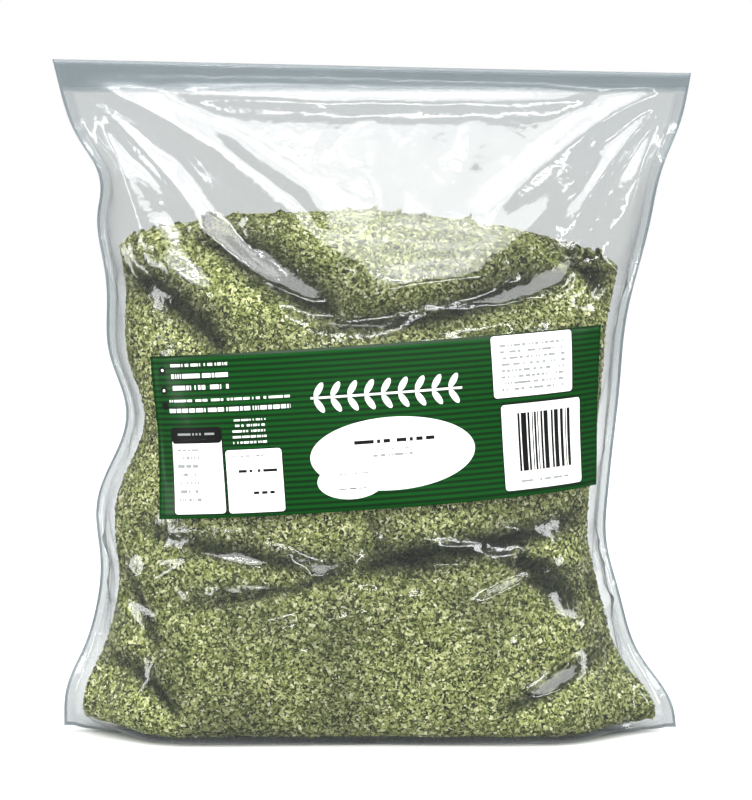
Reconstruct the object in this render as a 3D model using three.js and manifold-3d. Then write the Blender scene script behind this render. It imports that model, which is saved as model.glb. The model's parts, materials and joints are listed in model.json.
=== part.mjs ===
// A clear film bag of dried parsley, sealed all round and standing on its slumped base.
//
// Two webs of clear film, one in front and one behind, are welded together along both sides and the
// top, and meet in a seam under the base. A heap of dried parsley flakes fills the lower three
// quarters and pushes the webs apart; above the heap they close in to the flat top weld. One printed
// label is stuck across the front web. Units are millimetres, +Z is up, -Y is the front, and the bag
// stands on z = 0.
import * as THREE from "three";
import { mergeVertices } from "three/addons/utils/BufferGeometryUtils.js";
import Module from "manifold-3d";

const wasm = await Module();
wasm.setup();

// Driving dimensions. The real film is 0.1 mm; its solid is thicker so that it is sound.
const filmThickness = 0.6;
const weldGap = 0.55;
const seamGap = 0.4;
const sideWeld = 5;
const heapClearance = 2.4;
const crumbHeight = 0.6;
const heapRim = 240;
const heapCrown = 9;
const heapCore = 30;
const labelWidth = 216;
const labelHeight = 76;
const labelThickness = 0.6;
const labelStandOff = 0.85;
const labelCentre = { across: 5, up: 151.5 };
const labelTilt = THREE.MathUtils.degToRad(4);

// Grid resolution of the faceted surfaces.
const bulgeColumns = 26;
const wallRows = 32;
const rowCrowding = 1.15;
const heapColumns = 34;
const heapRows = 22;
const heapTopRows = 8;
const labelColumns = 24;
const labelRows = 6;
const looseFlakes = 70;

// Each side weld is a wavy edge, because the bulging heap draws the flat film in and buckles it.
// Points run from the bottom corner to the top corner.
const leftEdge = seam([
  [-146, -5, 4],
  [-145, -7, 22],
  [-135, 2, 45],
  [-128, -4, 78],
  [-131, 5, 110],
  [-115, -3, 152],
  [-125, 5, 183],
  [-124.5, -2, 215],
  [-130, 4, 245],
  [-126, -5, 264],
  [-141, 2, 288],
  [-149.5, 0, 320],
]);
const rightEdge = seam([
  [146, -4, 3],
  [144, -6, 15],
  [127, 3, 40],
  [118.5, -5, 68],
  [112.5, 4, 92],
  [113.5, -2, 120],
  [118.5, 4, 163],
  [121, -3, 198],
  [132, 4, 240],
  [137, -3, 268],
  [147, 3, 291],
  [151, 0, 313.5],
]);

// The bag's middle section: each web runs out from the seam under the base along the floor, turns
// up and climbs to the top weld. The film's thickness and half the gap stand outside these lines.
const floorLift = filmThickness + weldGap / 2;
const floorReach = 33;
const topWeldFoot = 306;
const webs = {
  front: {
    side: -1,
    profile: webProfile(-1, [
      [50, 24],
      [54, 66],
      [54, 115],
      [51, 160],
      [45, 205],
      [36, 240],
      [19, 274],
      [0, topWeldFoot],
    ]),
  },
  back: {
    side: 1,
    profile: webProfile(1, [
      [51, 24],
      [55, 66],
      [55, 112],
      [51, 160],
      [45, 205],
      [35, 240],
      [18, 274],
      [0, topWeldFoot],
    ]),
  },
};

// Long soft folds in the webs: end points as (x, z), width across the fold and height outwards.
const folds = {
  front: [
    { from: [-120, 292], to: [-24, 208], width: 11, height: -4 },
    { from: [-104, 296], to: [-4, 222], width: 13, height: 3 },
    { from: [132, 292], to: [84, 236], width: 12, height: -3.5 },
    { from: [112, 262], to: [30, 214], width: 14, height: 2.5 },
    { from: [-100, 62], to: [6, 96], width: 10, height: -3 },
    { from: [6, 96], to: [108, 101], width: 9, height: 3 },
    { from: [18, 84], to: [100, 88], width: 10, height: -3 },
    { from: [62, 30], to: [116, 58], width: 10, height: -3 },
    { from: [-122, 66], to: [-92, 30], width: 10, height: -3 },
  ],
  back: [
    { from: [128, 288], to: [20, 212], width: 12, height: -4 },
    { from: [-130, 290], to: [-70, 226], width: 12, height: -3.5 },
    { from: [-96, 84], to: [90, 96], width: 10, height: -3 },
    { from: [-60, 60], to: [112, 52], width: 11, height: 2.5 },
    { from: [-30, 180], to: [110, 190], width: 11, height: -2.5 },
  ],
};

// A web's line in the middle section; the wall's points are (distance from the welds, z).
function webProfile(side, wall) {
  const at = (out, z) => new THREE.Vector3(0, side * out, z);
  const foot = at(floorReach, floorLift);
  const profile = new THREE.CurvePath();
  profile.add(new THREE.LineCurve3(at(seamGap / 2, floorLift), foot));
  const turn = [at(floorReach + 10, floorLift), at(wall[0][0] - 2, 8), at(...wall[0])];
  profile.add(new THREE.CubicBezierCurve3(foot, ...turn));
  profile.add(new THREE.CatmullRomCurve3(wall.map((point) => at(...point))));
  return profile;
}

function seam(points) {
  return new THREE.CatmullRomCurve3(points.map(([x, y, z]) => new THREE.Vector3(x, y, z)));
}

function mix(a, b, share) {
  return a + (b - a) * share;
}

function ease(from, to, value) {
  return THREE.MathUtils.smoothstep(value, from, to);
}

// Places on a web are (u, v): u runs from 0 at the left weld's inner edge to 1 at the right one,
// and v from 0 at the seam under the base to 1 at the top weld's inner edge. A u below 0 or above 1,
// and a v above 1, lie on the outer edges of the welds.
const topWeldShare = 0.03;

// A point of the straight line between the two side welds.
function chordPoint(u, v) {
  const along = v > 1 ? 1 : v * (1 - topWeldShare);
  const left = leftEdge.getPointAt(along);
  const right = rightEdge.getPointAt(along);
  if (u < 0) return left;
  if (u > 1) return right;
  left.x += sideWeld;
  right.x -= sideWeld;
  return left.lerp(right, (1 + acrossAt(u)) / 2);
}

// Columns crowd towards the welds, where the web turns: -1 at the left one to 1 at the right one.
function acrossAt(u) {
  return Math.sin(Math.PI * (u - 0.5));
}

// How far the web stands out at a place across it: 1 in the middle and 0 at the side welds. The
// base is boxy with a flat middle, the heap is an ellipse, and the empty top is lens shaped.
function bulge(u, v) {
  const filled = ease(0.05, 0.42, v);
  const slack = ease(0.76, 0.98, v);
  const power = mix(mix(6, 2.15, filled), 1.9, slack);
  const root = mix(mix(1.7, 2.1, filled), 1.5, slack);
  const plateau = mix(1.14, 1, ease(0, 0.4, v));
  const across = Math.min(1, Math.abs(acrossAt(u)));
  return Math.min(1, plateau * (1 - across ** power) ** (1 / root));
}

// Outwards push of the folds near a point of a web, faded out at the welds and the base.
function foldHeight(webName, x, z, share) {
  const point = new THREE.Vector3(x, z, 0);
  const nearest = new THREE.Vector3();
  const sum = folds[webName].reduce((total, fold) => {
    const line = new THREE.Line3(
      new THREE.Vector3(...fold.from, 0),
      new THREE.Vector3(...fold.to, 0),
    );
    line.closestPointToPoint(point, true, nearest);
    const reach = nearest.distanceTo(point) / fold.width;
    return total + fold.height * Math.exp(-reach * reach);
  }, 0);
  return sum * share * ease(14, 34, z);
}

// A point of a web's line, with no thickness.
function webPoint(webName, u, v) {
  const web = webs[webName];
  const chord = chordPoint(u, v);
  if (u < 0 || u > 1 || v > 1) return chord;
  const share = bulge(u, v);
  const middle = web.profile.getPointAt(v);
  const centre = chordPoint(0.5, v);
  const y = mix(chord.y, chord.y - centre.y + middle.y, share);
  const slope = (chord.z - centre.z) * ease(0.14, 0.4, v);
  const z = mix(chord.z, middle.z + slope, share);
  const folded = v > 0 && v < 1 ? foldHeight(webName, chord.x, z, share) : 0;
  return new THREE.Vector3(chord.x, y + web.side * folded, z);
}

// The v at which a web's line passes a height, found by halving.
function placeAtHeight(webName, u, height) {
  let low = 0.1;
  let high = 1;
  while (high - low > 1e-6) {
    const v = (low + high) / 2;
    if (webPoint(webName, u, v).z < height) low = v;
    else high = v;
  }
  return low;
}

// A grid of points, one row for each height v and one column for each place u, moved outwards
// along the surface's normal. side is -1 where the grid faces the front and 1 the back.
function offsetGrid(grid, side, distance) {
  const at = (r, c) =>
    grid[THREE.MathUtils.clamp(r, 0, grid.length - 1)][
      THREE.MathUtils.clamp(c, 0, grid[0].length - 1)
    ];
  return grid.map((row, r) =>
    row.map((point, c) => {
      const rightwards = at(r, c + 1).clone().sub(at(r, c - 1));
      const upwards = at(r + 1, c).clone().sub(at(r - 1, c));
      const outwards = rightwards.cross(upwards).normalize().multiplyScalar(-side);
      return point.clone().addScaledVector(outwards, distance);
    }),
  );
}

function spread(count) {
  return Array.from({ length: count + 1 }, (_, i) => i / count);
}

// One closed mesh from points and triangles that may repeat a point.
function closedGeometry(points, triangles) {
  const loose = new THREE.BufferGeometry().setFromPoints(points);
  loose.setIndex(triangles.flat());
  const merged = mergeVertices(loose, 1e-3);
  const index = Array.from(merged.index.array);
  const kept = index
    .filter((_, i) => i % 3 === 0)
    .map((a, i) => [a, index[3 * i + 1], index[3 * i + 2]])
    .filter(([a, b, c]) => a !== b && b !== c && c !== a);
  return merged.setIndex(kept.flat());
}

// The triangles of a grid of points stored row by row.
function gridTriangles(rows, columns, first, flipped) {
  const triangles = [];
  for (let r = 0; r < rows; r += 1) {
    for (let c = 0; c < columns; c += 1) {
      const a = first + r * (columns + 1) + c;
      const b = a + 1;
      const d = a + columns + 1;
      const e = d + 1;
      const pair = (r + c) % 2 ? [[a, b, e], [a, e, d]] : [[a, b, d], [b, e, d]];
      pair.forEach(([p, q, s]) => triangles.push(flipped ? [p, s, q] : [p, q, s]));
    }
  }
  return triangles;
}

// A thin closed sheet between two faces, each a grid of rows of points.
function sheetGeometry(outer, inner, flipped) {
  const rows = outer.length - 1;
  const columns = outer[0].length - 1;
  const points = [...outer.flat(), ...inner.flat()];
  const second = outer.flat().length;
  const triangles = [
    ...gridTriangles(rows, columns, 0, flipped),
    ...gridTriangles(rows, columns, second, !flipped),
  ];
  const rim = [];
  for (let c = 0; c < columns; c += 1) rim.push(c);
  for (let r = 0; r < rows; r += 1) rim.push(r * (columns + 1) + columns);
  for (let c = columns; c > 0; c -= 1) rim.push(rows * (columns + 1) + c);
  for (let r = rows; r > 0; r -= 1) rim.push(r * (columns + 1));
  rim.forEach((a, i) => {
    const b = rim[(i + 1) % rim.length];
    const pair = [[b, a, a + second], [b, a + second, b + second]];
    pair.forEach(([p, q, s]) => triangles.push(flipped ? [p, s, q] : [p, q, s]));
  });
  return closedGeometry(points, triangles);
}

// One welded web of film: half of the base, the wall and the top weld, with a flat weld each side.
function webGeometry(webName) {
  const { side } = webs[webName];
  const places = [-1, ...spread(bulgeColumns), 2];
  const heights = [...spread(wallRows).map((share) => share ** rowCrowding), 2];
  const grid = heights.map((v) => places.map((u) => webPoint(webName, u, v)));
  const outer = offsetGrid(grid, side, weldGap / 2 + filmThickness);
  const inner = offsetGrid(grid, side, weldGap / 2);
  return sheetGeometry(outer, inner, side > 0);
}

// The height of the heap's rim against the webs, highest left of the middle.
function rimHeight(u) {
  return heapRim - 13 * (acrossAt(u) + 0.2) ** 2;
}

// Repeatable random numbers from 0 to 1.
function seededRandom(seed) {
  let state = seed;
  return () => {
    state = (state * 1664525 + 1013904223) % 4294967296;
    return state / 4294967296;
  };
}

// A point of the heap's sides: a point of the web drawn in towards the middle of the heap.
function heapPoint(webName, u, v, crumb) {
  const point = webPoint(webName, u, v);
  const core = new THREE.Vector3(0.75 * point.x, 0, Math.max(point.z, heapCore));
  const inwards = core.sub(point).normalize();
  const end = Math.abs(acrossAt(u)) ** 6;
  return point.addScaledVector(inwards, heapClearance * (1 + 0.7 * end) + crumb);
}

// The heap's two sides, as grids from the seam under the base up to the rim.
function heapSides(random) {
  const [front, back] = Object.keys(webs).map((webName) => {
    const rims = spread(heapColumns).map((u) => placeAtHeight(webName, u, rimHeight(u)));
    return spread(heapRows).map((row) =>
      spread(heapColumns).map((u, c) => {
        const crumb = crumbHeight * (2 * random() - 1);
        return heapPoint(webName, u, row * rims[c], crumb);
      }),
    );
  });
  // The two sides share their bottom row and both ends.
  const join = (r, c) => {
    front[r][c].lerp(back[r][c], 0.5);
    back[r][c] = front[r][c];
  };
  spread(heapColumns).forEach((_, c) => join(0, c));
  spread(heapRows).forEach((_, r) => {
    join(r, 0);
    join(r, heapColumns);
  });
  return { front, back };
}

// The open top of the heap, as rows from the front rim to the back rim: a low crown.
function heapTop(front, back, random) {
  return spread(heapTopRows).map((share) =>
    spread(heapColumns).map((u, c) => {
      const onRim = share === 0 || share === 1 || u === 0 || u === 1;
      const crown = heapCrown * Math.sin(Math.PI * share) * Math.sin(Math.PI * u);
      const crumb = onRim ? 0 : crumbHeight * (2 * random() - 1);
      return front[c].clone().lerp(back[c], share).add(new THREE.Vector3(0, 0, crown + crumb));
    }),
  );
}

// The heap of flakes: its surface is pressed into small facets, larger than the real flakes.
function heapSurface() {
  const random = seededRandom(7);
  const { front, back } = heapSides(random);
  const top = heapTop(front.at(-1), back.at(-1), random);
  const rings = [...front, ...top.slice(1), ...back.slice(0, -1).reverse()];
  const triangles = gridTriangles(rings.length - 1, heapColumns, 0, false);
  return { top, geometry: closedGeometry(rings.flat(), triangles) };
}

function solidOf(geometry) {
  return new wasm.Manifold(
    new wasm.Mesh({
      numProp: 3,
      vertProperties: new Float32Array(geometry.getAttribute("position").array),
      triVerts: new Uint32Array(geometry.index.array),
    }),
  );
}

function geometryOf(solid) {
  const mesh = solid.getMesh();
  const points = [];
  for (let i = 0; i < mesh.numVert; i += 1) {
    points.push(new THREE.Vector3().fromArray(mesh.vertProperties, i * mesh.numProp));
  }
  return new THREE.BufferGeometry().setFromPoints(points).setIndex(Array.from(mesh.triVerts));
}

// One curled leaf flake lying on the top of the heap: a thin wedge-cut blade with a raised tip.
function flakeGeometry(size) {
  const blade = new THREE.BoxGeometry(size, 0.7 * size, 0.8, 1, 1, 1);
  const position = blade.getAttribute("position");
  for (let i = 0; i < position.count; i += 1) {
    const tip = position.getX(i) > 0 ? 0.45 : 1;
    position.setY(i, position.getY(i) * tip);
    position.setZ(i, position.getZ(i) + 0.18 * Math.abs(position.getY(i)));
  }
  blade.deleteAttribute("normal");
  blade.deleteAttribute("uv");
  return mergeVertices(blade, 1e-3);
}

// Loose flakes over the open top of the heap, each with a part of it sunk in.
function topFlakes(top, random) {
  return Array.from({ length: looseFlakes }, () => {
    const row = 1 + Math.floor(random() * (heapTopRows - 1));
    const column = 4 + Math.floor(random() * (heapColumns - 8));
    const size = 5 + 4 * random();
    const tilt = new THREE.Euler(0.5 * random(), -0.35 - 0.5 * random(), 2 * Math.PI * random());
    const pose = new THREE.Matrix4().compose(
      top[row][column],
      new THREE.Quaternion().setFromEuler(tilt),
      new THREE.Vector3(1, 1, 1),
    );
    return solidOf(flakeGeometry(size).applyMatrix4(pose));
  });
}

function heapGeometry() {
  const { top, geometry } = heapSurface();
  const whole = topFlakes(top, seededRandom(19)).reduce(
    (sum, flake) => sum.add(flake),
    solidOf(geometry),
  );
  const bodies = whole.decompose().sort((a, b) => b.volume() - a.volume());
  return geometryOf(bodies[0]);
}

// Distances along the front web from its middle to each of many places, at the label's height.
const girthSteps = 200;
const girth = [0];
for (let i = 1; i <= girthSteps; i += 1) {
  const v = placeAtHeight("front", 0.5, labelCentre.up);
  const step = (n) => webPoint("front", 0.5 + (0.5 * n) / girthSteps, v);
  girth.push(girth[i - 1] + step(i).distanceTo(step(i - 1)));
}

// The point of the front web that a place on the flat label lies on.
function labelPoint(rightwards, upwards) {
  const flat = new THREE.Vector2(rightwards - 0.5, upwards - 0.5)
    .multiply(new THREE.Vector2(labelWidth, labelHeight))
    .rotateAround(new THREE.Vector2(), labelTilt);
  const distance = labelCentre.across + flat.x;
  const n = girth.findIndex((length) => length >= Math.abs(distance));
  if (n < 1) throw new Error("the label is wider than the web");
  const part = (Math.abs(distance) - girth[n - 1]) / (girth[n] - girth[n - 1]);
  const u = 0.5 + (Math.sign(distance) * 0.5 * (n - 1 + part)) / girthSteps;
  return webPoint("front", u, placeAtHeight("front", u, labelCentre.up + flat.y));
}

// The printed label: one thin sheet stuck to the outside of the front web.
function labelGeometry() {
  const grid = spread(labelRows).map((upwards) =>
    spread(labelColumns).map((rightwards) => labelPoint(rightwards, upwards)),
  );
  const foot = weldGap / 2 + filmThickness + labelStandOff;
  return sheetGeometry(
    offsetGrid(grid, -1, foot + labelThickness),
    offsetGrid(grid, -1, foot),
    false,
  );
}

const finishes = {
  film: new THREE.MeshStandardMaterial({
    color: 0xe9f0f1,
    roughness: 0.12,
    metalness: 0,
    transparent: true,
    opacity: 0.3,
    side: THREE.DoubleSide,
  }),
  parsley: new THREE.MeshStandardMaterial({ color: 0x6f7440, roughness: 0.9, metalness: 0 }),
  label: new THREE.MeshStandardMaterial({ color: 0x0b6b1e, roughness: 0.35, metalness: 0 }),
};

function piece(name, geometry, finish) {
  geometry.computeVertexNormals();
  const mesh = new THREE.Mesh(geometry, finishes[finish]);
  mesh.name = name;
  return mesh;
}

const bag = new THREE.Group();
bag.add(
  piece("film_front", webGeometry("front"), "film"),
  piece("film_back", webGeometry("back"), "film"),
  piece("parsley_flakes", heapGeometry(), "parsley"),
  piece("label", labelGeometry(), "label"),
);

// The origin is at the middle of the base.
const extent = new THREE.Box3().setFromObject(bag);
const middle = extent.getCenter(new THREE.Vector3());
bag.position.set(-middle.x, -middle.y, -extent.min.z);

export default bag;
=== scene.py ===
"""A clear film bag of dried parsley on its slumped base: film, filling, label and a small studio."""

import json
import math
import random

import bmesh
import bpy
from bpy.props import FloatProperty, FloatVectorProperty, IntProperty, PointerProperty
from mathutils import Matrix, Vector
from mathutils.bvhtree import BVHTree

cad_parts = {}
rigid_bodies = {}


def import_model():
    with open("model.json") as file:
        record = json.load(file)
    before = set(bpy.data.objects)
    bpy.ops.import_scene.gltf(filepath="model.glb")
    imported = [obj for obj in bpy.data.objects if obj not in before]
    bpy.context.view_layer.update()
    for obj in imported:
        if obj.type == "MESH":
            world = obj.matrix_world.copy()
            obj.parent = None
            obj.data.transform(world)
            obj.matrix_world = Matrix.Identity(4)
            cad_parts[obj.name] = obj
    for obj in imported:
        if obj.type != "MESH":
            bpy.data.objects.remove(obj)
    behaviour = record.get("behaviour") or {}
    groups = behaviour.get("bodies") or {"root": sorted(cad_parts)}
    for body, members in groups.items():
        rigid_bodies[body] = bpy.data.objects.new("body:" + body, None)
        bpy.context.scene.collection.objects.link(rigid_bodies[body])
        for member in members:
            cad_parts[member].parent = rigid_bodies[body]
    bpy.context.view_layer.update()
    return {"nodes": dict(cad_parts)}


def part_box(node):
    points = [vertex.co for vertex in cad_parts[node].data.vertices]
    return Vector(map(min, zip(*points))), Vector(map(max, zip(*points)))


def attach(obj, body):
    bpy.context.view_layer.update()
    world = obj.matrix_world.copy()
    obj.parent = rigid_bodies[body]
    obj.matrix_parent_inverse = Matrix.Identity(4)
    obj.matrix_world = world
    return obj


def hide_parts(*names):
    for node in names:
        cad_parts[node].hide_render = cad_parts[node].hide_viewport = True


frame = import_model()

bl_info = {
    "name": "Film Bag of Dried Parsley",
    "version": (1, 0, 0),
    "blender": (4, 5, 0),
    "location": "3D Viewport > Sidebar > Parsley Bag",
    "description": "Builds the film, flakes, label and studio of a clear bag of dried parsley",
    "category": "Object",
}

MM = 0.001

# How far the film stays above the floor, and over what length a crease fades in beside a weld or
# the label.
FLOOR_GAP = 0.1 * MM
CREASE_FADE = 8 * MM

# The heap that the film feels: how far it is grown, in millimetres, so that the film rests over the
# flakes, and how often it is smoothed.
COLLIDER_GROWTH = 1.1
COLLIDER_SMOOTHING = 3

# The heap under the flakes: how often it is smoothed, and how deep it lies, in flake lengths.
CORE_SMOOTHING = 6
CORE_DEPTH = 0.15

# The flakes on the heap's top and on its front and back are separate pieces. A face of the heap
# belongs to one of them by the upward or sideways part of its normal.
TOP_NORMAL = 0.6
SIDE_NORMAL = 0.3

# Flakes: how many shapes there are, how far one may tip off the surface, in radians, and the range
# of lengths, as shares of a middling flake's.
FLAKE_SHAPES = 12
FLAKE_TIP = 0.55
FLAKE_SHORTEST = 0.55
FLAKE_LONGEST = 1.25

# Creases in the web that faces the camera, in millimetres on the bag's middle plane:
# x and height of both ends, how far the crest stands up, half its width, and how far it bows.
CREASES = (
    (-135, 308, -20, 238, 5, 14, 6),
    (-133, 301, -74, 237, 4, 10, 3),
    (-128, 291, -105, 237, 3.5, 8, 2),
    (141, 308, 51, 242, 5, 14, -6),
    (138, 301, 89, 235, 4, 10, -3),
    (136, 294, 115, 230, 3, 8, -2),
    (-95, 304, 108, 302, 2.5, 9, -3),
    (-84, 246, -20, 204, 4.5, 14, -4),
    (-20, 202, 58, 220, 3.5, 12, 4),
    (23, 199, 94, 218, 4, 11, -3),
    (-110, 230, -74, 206, 3.5, 10, 2),
    (-100, 98, -20, 84, 5, 10, -5),
    (-91, 69, 4, 91, 5.5, 12, -4),
    (-60, 55, 30, 74, 4, 11, -3),
    (13, 84, 103, 102, 5.5, 12, -5),
    (46, 65, 108, 91, 5, 11, 3),
    (-40, 40, 20, 22, 3, 12, 4),
    (65, 20, 110, 43, 5, 11, -3),
    (108, 41, 136, 6, 3, 8, 2),
    (-100, 32, -135, 10, 3.5, 10, 2),
    (-123, 161, -106, 126, 3, 7, 1),
    (100, 95, 124, 60, 4, 9, -2),
    (84, 44, 122, 72, 4, 9, 2),
    (-126, 78, -98, 50, 3.5, 8, -2),
    (-132, 98, -108, 76, 3, 8, 2),
    (104, 230, 124, 204, 3.5, 8, 2),
    (-122, 240, -104, 214, 3.5, 8, -2),
    (-120, 272, -96, 252, 3, 8, 2),
    (112, 280, 92, 256, 3, 8, -2),
    (-60, 246, -48, 222, 3, 7, 1),
    (-105, 90, -40, 104, 4, 8, 2),
    (-62, 102, 20, 68, 4, 8, -3),
    (0, 110, 10, 70, 4.5, 7, 1),
    (20, 96, 84, 82, 4, 8, 2),
    (50, 109, 118, 90, 4, 7, -2),
    (-112, 72, -58, 94, 3.5, 8, 2),
    (62, 209, 120, 196, 3.5, 8, 2),
    (-62, 201, 2, 196, 3, 7, 1),
    (-62, 34, -8, 50, 2.5, 9, 2),
    (28, 28, 72, 52, 3, 9, -2),
)

# Valleys that the tight film presses into the heap's front, given like the creases: their upper sides lie
# in shade, and their lower sides catch the light. The flakes on them also carry painted shade on the
# upper sides and a painted paler tone on the lower sides.
VALLEYS = (
    (-92, 252, -14, 199, 9, 24, -4),
    (-132, 222, -66, 182, 7, 24, 3),
    (-34, 196, 66, 205, 6, 15, -3),
    (12, 196, 104, 224, 7, 20, -3),
    (82, 240, 126, 194, 8, 22, 2),
    (-112, 102, -6, 84, 7, 14, -5),
    (-10, 84, 114, 106, 9, 19, -5),
    (-94, 66, 6, 88, 5, 12, -3),
    (-2, 112, 6, 74, 5, 8, 1),
    (44, 96, 98, 60, 9, 20, 5),
    (60, 15, 116, 45, 7, 14, -3),
    (-134, 40, -90, 13, 7, 15, 3),
    (-120, 88, -100, 44, 6, 13, -3),
    (100, 78, 120, 40, 6, 12, 3),
)

# The label's print, in millimetres from its lower left corner. A box is (left, bottom, right, top).
INKS = {"white": "F7F8F5", "black": "0D0F0D", "grey": "8E9390"}
PINSTRIPE_PITCH = 2.6
PANELS = (
    (8.6, 2, 34.3, 41.6),
    (35.8, 1.8, 62.4, 31),
    (162, 46.2, 201.8, 74.8),
    (165, 3, 206.3, 42.8),
)
PANEL_CORNER = 1.6
OUTLINE_WIDTH = 0.5
OUTLINE_CORNER = 2
SHARP_CORNER = 0.01
PANEL_HEADER = (8.6, 34.6, 34.3, 41.6)
PANEL_RULE = (24.2, 4, 24.5, 33)
RULE_CORNER = 0.1
# White ovals, as (centre, half size).
OVALS = (((113.5, 25), (38, 16.8)), ((93.5, 13.8), (15.5, 8.4)))
LEAF_ROW = (77.5, 45.5, 147.25, 60)
LEAF_PITCH = 7.75
LEAF_LEAN = 0.5
STEM_HALF_WIDTH = 0.5
BARS = (169.4, 11.5, 200.8, 38.5)
BAR_WIDTH = 0.55
BAR_SHARE = 0.52
# Black bullets with a white middle, except the lowest, which is plain.
BULLET_ACROSS = 6.4
BULLET_HEIGHTS = (68.8, 59.4, 52.2)
BULLET_RADIUS = 1.9
BULLET_HOLE = 0.7
# Rows of dashes, as (box, distance between rows, dash length, share that is printed, ink). A dash
# is this share of the distance between rows high.
DASH_HEIGHT = 0.38
DASHES = (
    ((11, 57.6, 40, 71.5), 5.4, 0.6, 0.7, "white"),
    ((8.6, 46, 68, 55), 4.9, 0.6, 0.75, "white"),
    ((40, 33, 56, 45), 2.6, 0.5, 0.65, "white"),
    ((12, 36.4, 31, 39.4), 3.2, 0.9, 0.6, "grey"),
    ((11, 5, 22.5, 32), 3.9, 0.7, 0.6, "grey"),
    ((40, 20, 60, 24), 3.4, 1.3, 0.65, "black"),
    ((48, 9, 58, 13), 3.4, 1.3, 0.6, "black"),
    ((38, 26, 54, 28.4), 2.3, 0.6, 0.6, "grey"),
    ((166, 49, 198, 72.5), 2.9, 0.8, 0.55, "grey"),
    ((96, 30.2, 133, 35.2), 5, 1.5, 0.72, "black"),
    ((104, 24, 124, 27.5), 3, 0.7, 0.5, "grey"),
    ((84, 15.5, 103, 17.4), 2.4, 0.7, 0.6, "grey"),
    ((88, 10, 100, 12.6), 3.1, 1.1, 0.6, "black"),
    ((172, 6.4, 198, 9), 3.1, 1.2, 0.7, "grey"),
)

# The studio, in metres and watts. Each soft light is (name, place, size, power) and looks at the
# bag's middle.
BAG_MIDDLE = (0, 0, 160 * MM)
SOFT_LIGHTS = (
    ("softbox_top", (-0.2, -0.66, 1.75), (1.2, 0.55), 5),
    ("softbox_front", (0.5, -2.0, 0.95), (1.6, 0.14), 9),
    ("strip_key", (-0.35, -1.1, 1.45), (0.7, 0.05), 4),
    ("softbox_back", (0.3, 1.5, 1.5), (1.4, 0.35), 16),
    ("softbox_left", (-1.4, -0.8, 0.7), (0.3, 1.2), 8),
    ("softbox_right", (1.4, -0.6, 0.8), (0.25, 1.2), 7),
)
CEILING_STRENGTH = 3.3
CEILING_ANGLE = math.radians(60)
CEILING_TILT = math.radians(25)
CAMERA_DISTANCE = 1.6
CAMERA_ELEVATION = math.radians(5)
CAMERA_TARGET = (2 * MM, 0, 159 * MM)
FRAME_HEIGHT = 380 * MM


# Small helpers


def linear(hex_colour):
    """An sRGB hex colour such as 6F7440 as linear RGBA."""
    channels = [int(hex_colour[i : i + 2], 16) / 255 for i in (0, 2, 4)]
    return tuple(c / 12.92 if c <= 0.04045 else ((c + 0.055) / 1.055) ** 2.4 for c in channels) + (1.0,)


def settings():
    """The add-on's settings, held by the scene."""
    return bpy.context.scene.parsley_bag


def new_object(name, bm):
    """A mesh object at the origin from a finished bmesh."""
    mesh = bpy.data.meshes.new(name)
    bm.to_mesh(mesh)
    bm.free()
    obj = bpy.data.objects.new(name, mesh)
    bpy.context.scene.collection.objects.link(obj)
    return obj


def shade_smooth(obj):
    obj.data.polygons.foreach_set("use_smooth", [True] * len(obj.data.polygons))


def apply_modifiers(obj):
    """Replaces the object's mesh with what its modifiers make of it now."""
    depsgraph = bpy.context.evaluated_depsgraph_get()
    depsgraph.update()
    mesh = bpy.data.meshes.new_from_object(obj.evaluated_get(depsgraph))
    obj.modifiers.clear()
    old = obj.data
    obj.data = mesh
    bpy.data.meshes.remove(old)


def node_copy(node):
    """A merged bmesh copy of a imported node, in metres."""
    bm = bmesh.new()
    bm.from_mesh(frame["nodes"][node].data)
    bmesh.ops.remove_doubles(bm, verts=bm.verts, dist=0.005 * MM)
    return bm


def smooth(bm, rounds, axes="xyz"):
    """Smooths all vertices, along the named axes only."""
    used = {f"use_axis_{axis}": axis in axes for axis in "xyz"}
    for _ in range(rounds):
        bmesh.ops.smooth_vert(bm, verts=bm.verts, factor=0.5, **used)


def islands(bm):
    """The groups of vertices that edges join."""
    seen = set()
    groups = []
    for start in bm.verts:
        if start in seen:
            continue
        seen.add(start)
        group = [start]
        for vert in group:
            for edge in vert.link_edges:
                other = edge.other_vert(vert)
                if other not in seen:
                    seen.add(other)
                    group.append(other)
        groups.append(group)
    return groups


def finish_piece(obj, slot, material, *replaced):
    """Rides the piece on the bag, gives it its material and hides the nodes that it stands for. The slot
    is not used.
    """
    obj.data.materials.clear()
    obj.data.materials.append(material)
    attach(obj, "root")
    if replaced:
        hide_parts(*replaced)


# Node building


def new_material(name):
    """An empty node material and its tree."""
    material = bpy.data.materials.new(name)
    material.use_nodes = True
    material.node_tree.nodes.clear()
    return material, material.node_tree


def add(tree, kind, links=None, inputs=None, **values):
    """Adds a node: values are its settings, inputs its socket values, and links its linked sockets."""
    node = tree.nodes.new(kind)
    for key, value in values.items():
        setattr(node, key, value)
    for key, value in (inputs or {}).items():
        node.inputs[key].default_value = value
    for key, source in (links or {}).items():
        tree.links.new(source, node.inputs[key])
    return node


def math_node(tree, operation, first, second=0):
    """A Math node; each term is a socket or a number."""
    terms = {0: first, 1: second}
    links = {key: term for key, term in terms.items() if isinstance(term, bpy.types.NodeSocket)}
    inputs = {key: term for key, term in terms.items() if key not in links}
    return add(tree, "ShaderNodeMath", links, inputs, operation=operation).outputs[0]


def vector_node(tree, operation, first, second=(0, 0, 0)):
    """A Vector Math node; the second term is a constant."""
    return add(tree, "ShaderNodeVectorMath", {0: first}, {1: second}, operation=operation).outputs[0]


def ramp_stops(node, stops):
    """Sets a colour ramp's stops, given as (place, colour)."""
    elements = node.color_ramp.elements
    while len(elements) < len(stops):
        elements.new(0.5)
    for element, (place, colour) in zip(elements, stops):
        element.position = place
        element.color = colour


# The film


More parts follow.
